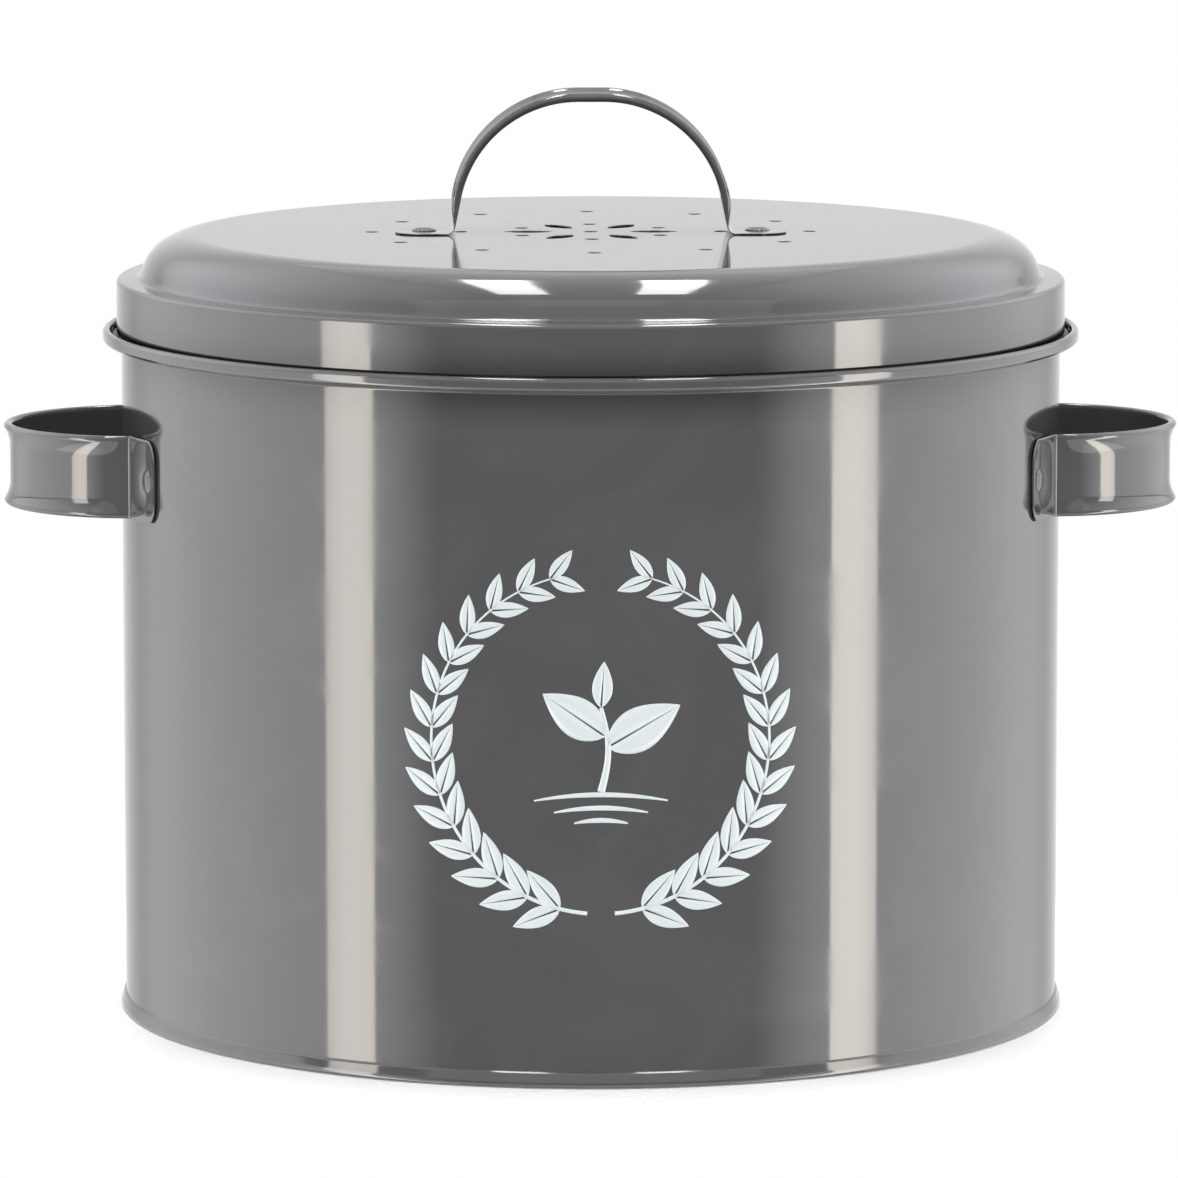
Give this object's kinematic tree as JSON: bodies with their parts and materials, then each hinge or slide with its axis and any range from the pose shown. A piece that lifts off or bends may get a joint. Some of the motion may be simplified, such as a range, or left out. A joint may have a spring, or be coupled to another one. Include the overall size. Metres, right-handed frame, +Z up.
{
  "type": "compost bin",
  "caption": "Round enamelled steel compost pail for a kitchen worktop, with strap handles, a vented lift-off lid, a filter tray under the lid and a lift-out liner with a bail.",
  "frame": {"origin": "middle of the ring that the pail stands on", "axes": "+Z up along the pail's axis, +X and -X towards the two side handles, -Y the front that the picture shows"},
  "size_m": [0.2756, 0.2288, 0.2155],
  "materials": {
    "enamel": "gloss dark grey stoved enamel on steel sheet",
    "black_plastic": "moulded black polypropylene, fine satin grain",
    "plated_wire": "zinc-plated drawn steel wire",
    "charcoal_felt": "needled felt filled with activated charcoal"
  },
  "bodies": {
    "pail": {"pail_wall": "enamel", "base_pan": "enamel", "right_handle": "enamel", "left_handle": "enamel", "right_handle_rivets": "enamel", "left_handle_rivets": "enamel"},
    "liner": {"liner_bucket": "black_plastic"},
    "bail": {"bail_wire": "plated_wire", "bail_grip": "black_plastic"},
    "lid": {"lid_shell": "enamel", "lid_handle": "enamel", "lid_handle_rivets": "enamel", "filter_holder": "black_plastic", "hinge_pin": "plated_wire"},
    "tray": {"filter_tray": "black_plastic", "charcoal_filter": "charcoal_felt"}
  },
  "joints": [
    {"name": "liner_lift", "type": "slide", "parent": "pail", "child": "liner", "axis": [0, 0, 1], "range_m": [0, 0.2]},
    {"name": "bail_swing", "type": "hinge", "parent": "liner", "child": "bail", "pos_m": [0, 0, 0.15005], "axis": [1, 0, 0], "range_deg": [0, 90]},
    {"name": "lid_lift", "type": "slide", "parent": "liner", "child": "lid", "axis": [0, 0, 1], "range_m": [0, 0.3]},
    {"name": "tray_swing", "type": "hinge", "parent": "lid", "child": "tray", "pos_m": [0, 0.0645, 0.17139], "axis": [1, 0, 0], "range_deg": [0, 100]}
  ],
  "couplings": [
    {"joint": "bail_swing", "follows": "lid_lift", "rad_per_m": 5.2359}
  ]
}
